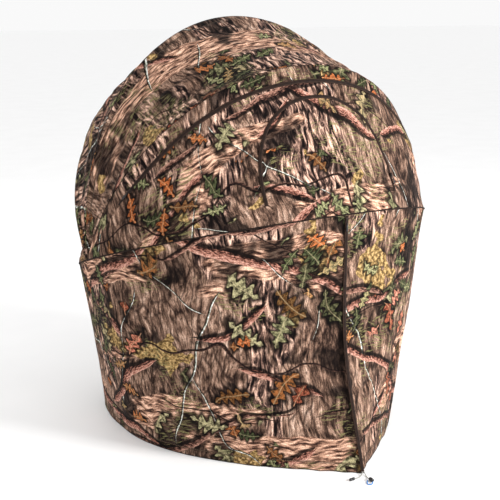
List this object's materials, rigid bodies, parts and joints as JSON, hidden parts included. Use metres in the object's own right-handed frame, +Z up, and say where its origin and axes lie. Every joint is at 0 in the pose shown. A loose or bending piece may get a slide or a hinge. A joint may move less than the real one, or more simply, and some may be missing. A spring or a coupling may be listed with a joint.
{
  "type": "pop up ground blind",
  "caption": "One-person camouflage chair blind: folding chair carrying hinged elliptical hoops, cloth hood with zipped window, and a skirt pegged to the ground.",
  "frame": {"origin": "on the ground, under the middle of the object seen from above", "axes": "+Z up, -Y towards the front of the blind, +X to the occupant's left"},
  "size_m": [1.2592, 1.3078, 1.4011],
  "materials": {
    "camo_cloth": "matte printed woven cloth",
    "zip_tape": "matte",
    "chair_cloth": "matte",
    "hoop_aluminium": "satin",
    "bolt_steel": "satin",
    "zip_metal": "satin",
    "pull_plastic": "satin",
    "cap_rubber": "matte",
    "black_plastic": "satin",
    "tie_cord": "matte",
    "tie_blue": "satin",
    "frame_steel": "satin"
  },
  "bodies": {
    "chair_and_base": {"chair_back_frame": "frame_steel", "back_sling": "chair_cloth", "hub_cross_bar": "frame_steel", "bar_clamp_left": "black_plastic", "bar_clamp_right": "black_plastic", "hub_bolt_left": "bolt_steel", "hub_bolt_right": "bolt_steel", "hub_nut_left": "bolt_steel", "hub_nut_right": "bolt_steel", "ring_hoop": "hoop_aluminium", "front_foot_cap_left": "cap_rubber", "front_foot_cap_right": "cap_rubber", "seat_pivot_bolt_left": "bolt_steel", "seat_pivot_bolt_right": "bolt_steel", "leg_pivot_bolt_left": "bolt_steel", "leg_pivot_bolt_right": "bolt_steel", "skirt_left": "camo_cloth", "skirt_right": "camo_cloth", "front_panel": "camo_cloth", "rear_gore": "camo_cloth", "arc_zip_tape": "zip_tape", "window_zip_tape": "zip_tape", "skirt_zip_tape": "zip_tape", "stake_tie_left": "tie_cord", "stake_tie_right": "tie_cord", "stake_tie_loop": "tie_blue", "stake_tie_toggle": "black_plastic", "stake_tie_lock": "black_plastic"},
    "rear_hoop_body": {"rear_hoop": "hoop_aluminium", "crown_rear_gore": "camo_cloth"},
    "top_hoop_body": {"top_hoop": "hoop_aluminium", "crown_front_gore": "camo_cloth"},
    "front_hoop_body": {"front_hoop": "hoop_aluminium", "visor_lip": "camo_cloth"},
    "seat": {"seat_frame": "frame_steel", "seat_sling": "chair_cloth"},
    "rear_legs": {"rear_leg_frame": "frame_steel", "rear_foot_cap_left": "cap_rubber", "rear_foot_cap_right": "cap_rubber"},
    "window_flap_body": {"window_flap": "camo_cloth"},
    "arc_slider": {"arc_zip_slider": "zip_metal"},
    "arc_tab": {"arc_zip_pull_tab": "pull_plastic"},
    "window_slider": {"window_zip_slider": "zip_metal"},
    "window_tab": {"window_zip_pull_tab": "pull_plastic"},
    "skirt_slider": {"skirt_zip_slider": "zip_metal"},
    "skirt_tab": {"skirt_zip_pull_tab": "pull_plastic"}
  },
  "joints": [
    {"name": "hood_fold", "type": "hinge", "parent": "chair_and_base", "child": "rear_hoop_body", "pos_m": [0, 0.03, 0.64], "axis": [-1, 0, 0], "range_deg": [0, 55], "deforming": ["rear_gore"]},
    {"name": "top_hoop_fold", "type": "hinge", "parent": "rear_hoop_body", "child": "top_hoop_body", "pos_m": [0, 0.03, 0.64], "axis": [-1, 0, 0], "range_deg": [0, 35.2], "deforming": ["crown_rear_gore"]},
    {"name": "front_hoop_fold", "type": "hinge", "parent": "top_hoop_body", "child": "front_hoop_body", "pos_m": [0, 0.03, 0.64], "axis": [-1, 0, 0], "range_deg": [0, 34.1], "deforming": ["crown_front_gore"]},
    {"name": "leg_fold", "type": "hinge", "parent": "chair_and_base", "child": "rear_legs", "pos_m": [0, -0.03875, 0.55], "axis": [-1, 0, 0], "range_deg": [0, 50]},
    {"name": "seat_fold", "type": "hinge", "parent": "chair_and_base", "child": "seat", "pos_m": [0, -0.09575, 0.43], "axis": [1, 0, 0], "range_deg": [0, 60]},
    {"name": "window_fold", "type": "hinge", "parent": "chair_and_base", "child": "window_flap_body", "pos_m": [0, -0.42864, 0.85627], "axis": [-1, 0, 0], "range_deg": [0, 120]},
    {"name": "arc_zip_run", "type": "hinge", "parent": "chair_and_base", "child": "arc_slider", "pos_m": [0.00257, -0.0405, 0.64933], "axis": [0.0016, 0.9022, 0.4313], "range_deg": [0, 129.84]},
    {"name": "arc_tab_lift", "type": "hinge", "parent": "arc_slider", "child": "arc_tab", "pos_m": [-0.56985, -0.15355, 0.88052], "axis": [-0.3001, 0.741, 0.6007], "range_deg": [0, 150]},
    {"name": "window_zip_run", "type": "hinge", "parent": "chair_and_base", "child": "window_slider", "pos_m": [-0.00081, -0.40305, 0.93036], "axis": [0.0095, -0.9546, 0.2977], "range_deg": [0, 193.47]},
    {"name": "window_tab_lift", "type": "hinge", "parent": "window_slider", "child": "window_tab", "pos_m": [0.24706, -0.41947, 0.89714], "axis": [-0.9387, -0.3265, 0.1105], "range_deg": [0, 150]},
    {"name": "skirt_zip_run", "type": "slide", "parent": "chair_and_base", "child": "skirt_slider", "axis": [0, -0.1408, -0.99], "range_m": [0, 0.747]},
    {"name": "skirt_tab_lift", "type": "hinge", "parent": "skirt_slider", "child": "skirt_tab", "pos_m": [0, -0.50869, 0.78772], "axis": [-1, 0, 0], "range_deg": [0, 150]}
  ],
  "couplings": [
    {"joint": "top_hoop_fold", "follows": "hood_fold", "ratio": 0.64},
    {"joint": "front_hoop_fold", "follows": "hood_fold", "ratio": 0.62},
    {"joint": "seat_fold", "follows": "leg_fold", "ratio": 1.2}
  ]
}
